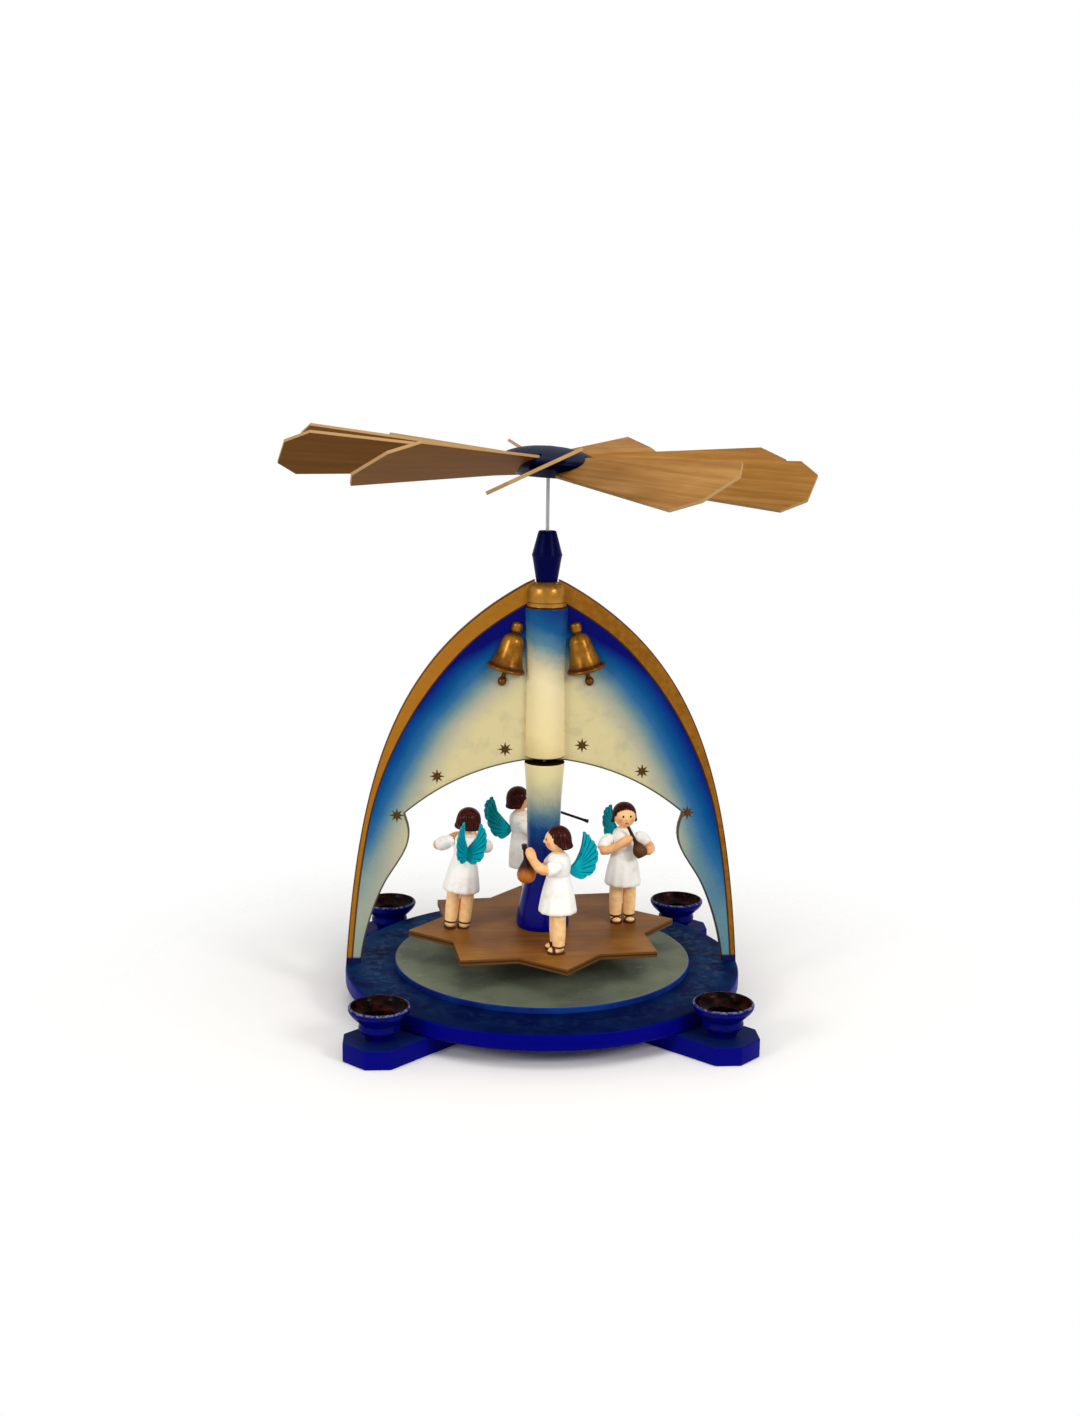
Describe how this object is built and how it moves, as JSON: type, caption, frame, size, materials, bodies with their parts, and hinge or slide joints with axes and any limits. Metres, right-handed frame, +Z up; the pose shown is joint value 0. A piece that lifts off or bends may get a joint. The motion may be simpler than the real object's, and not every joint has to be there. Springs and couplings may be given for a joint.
{
  "type": "christmas pyramid",
  "caption": "Wooden arch pyramid with candle cups on crossed feet and a blade wheel that turns a carousel of musician angels on a star plate.",
  "frame": {"origin": "on the turning axis, on the surface that the crossed foot bars stand on", "axes": "+Z up along the turning axis, +X to the right along the arch, -Y towards the viewer of the arch's front"},
  "size_m": [0.2409, 0.2436, 0.2702],
  "materials": {
    "blue_paint": "glossy blue paint",
    "sky_paint": "satin paint shaded from blue to cream",
    "grey_paint": "matt grey-green paint",
    "gold_paint": "gold bronze paint",
    "star_wood": "brown stain",
    "blade_wood": "clear varnish",
    "dark_wood": "dark brown paint",
    "white_paint": "white paint",
    "skin_paint": "clear varnish over skin tone",
    "hair_paint": "glossy dark brown paint",
    "wing_paint": "turquoise paint",
    "steel": "bright drawn rod",
    "brass": "turned"
  },
  "bodies": {
    "base": {"foot_bar_lower": "blue_paint", "foot_bar_upper": "blue_paint", "base_disc": "blue_paint", "floor_disc": "grey_paint", "bearing_cup": "brass", "candle_cup_back_right": "blue_paint", "candle_cup_back_left": "blue_paint", "candle_cup_front_left": "blue_paint", "candle_cup_front_right": "blue_paint", "arch_panel_right": "sky_paint", "arch_panel_left": "sky_paint", "arch_column": "sky_paint", "top_guide": "blue_paint", "bell_right": "gold_paint", "bell_left": "gold_paint"},
    "carousel": {"shaft": "steel", "carousel_post": "blue_paint", "star_plate": "star_wood", "wheel_hub": "blue_paint", "wheel_blade_01": "blade_wood", "wheel_blade_02": "blade_wood", "wheel_blade_03": "blade_wood", "wheel_blade_04": "blade_wood", "wheel_blade_05": "blade_wood", "wheel_blade_06": "blade_wood", "wheel_blade_07": "blade_wood", "wheel_blade_08": "blade_wood", "wheel_blade_09": "blade_wood", "wheel_blade_10": "blade_wood", "horn_angel_legs": "skin_paint", "horn_angel_dress": "white_paint", "horn_angel_head": "hair_paint", "horn_angel_arm_right": "skin_paint", "horn_angel_arm_left": "skin_paint", "horn_angel_wings": "wing_paint", "horn_angel_horn": "dark_wood", "pipe_angel_legs": "skin_paint", "pipe_angel_dress": "white_paint", "pipe_angel_head": "hair_paint", "pipe_angel_arm_right": "skin_paint", "pipe_angel_arm_left": "skin_paint", "pipe_angel_wings": "wing_paint", "pipe_angel_pipe": "dark_wood", "recorder_angel_legs": "skin_paint", "recorder_angel_dress": "white_paint", "recorder_angel_head": "hair_paint", "recorder_angel_arm_right": "skin_paint", "recorder_angel_arm_left": "skin_paint", "recorder_angel_wings": "wing_paint", "recorder_angel_recorder": "dark_wood", "lute_angel_legs": "skin_paint", "lute_angel_dress": "white_paint", "lute_angel_head": "hair_paint", "lute_angel_arm_right": "skin_paint", "lute_angel_arm_left": "skin_paint", "lute_angel_wings": "wing_paint", "lute_angel_lute": "dark_wood"}
  },
  "joints": [
    {"name": "carousel_spin", "type": "hinge", "parent": "base", "child": "carousel", "pos_m": [0, 0, 0.02], "axis": [0, 0, 1], "continuous": true}
  ]
}
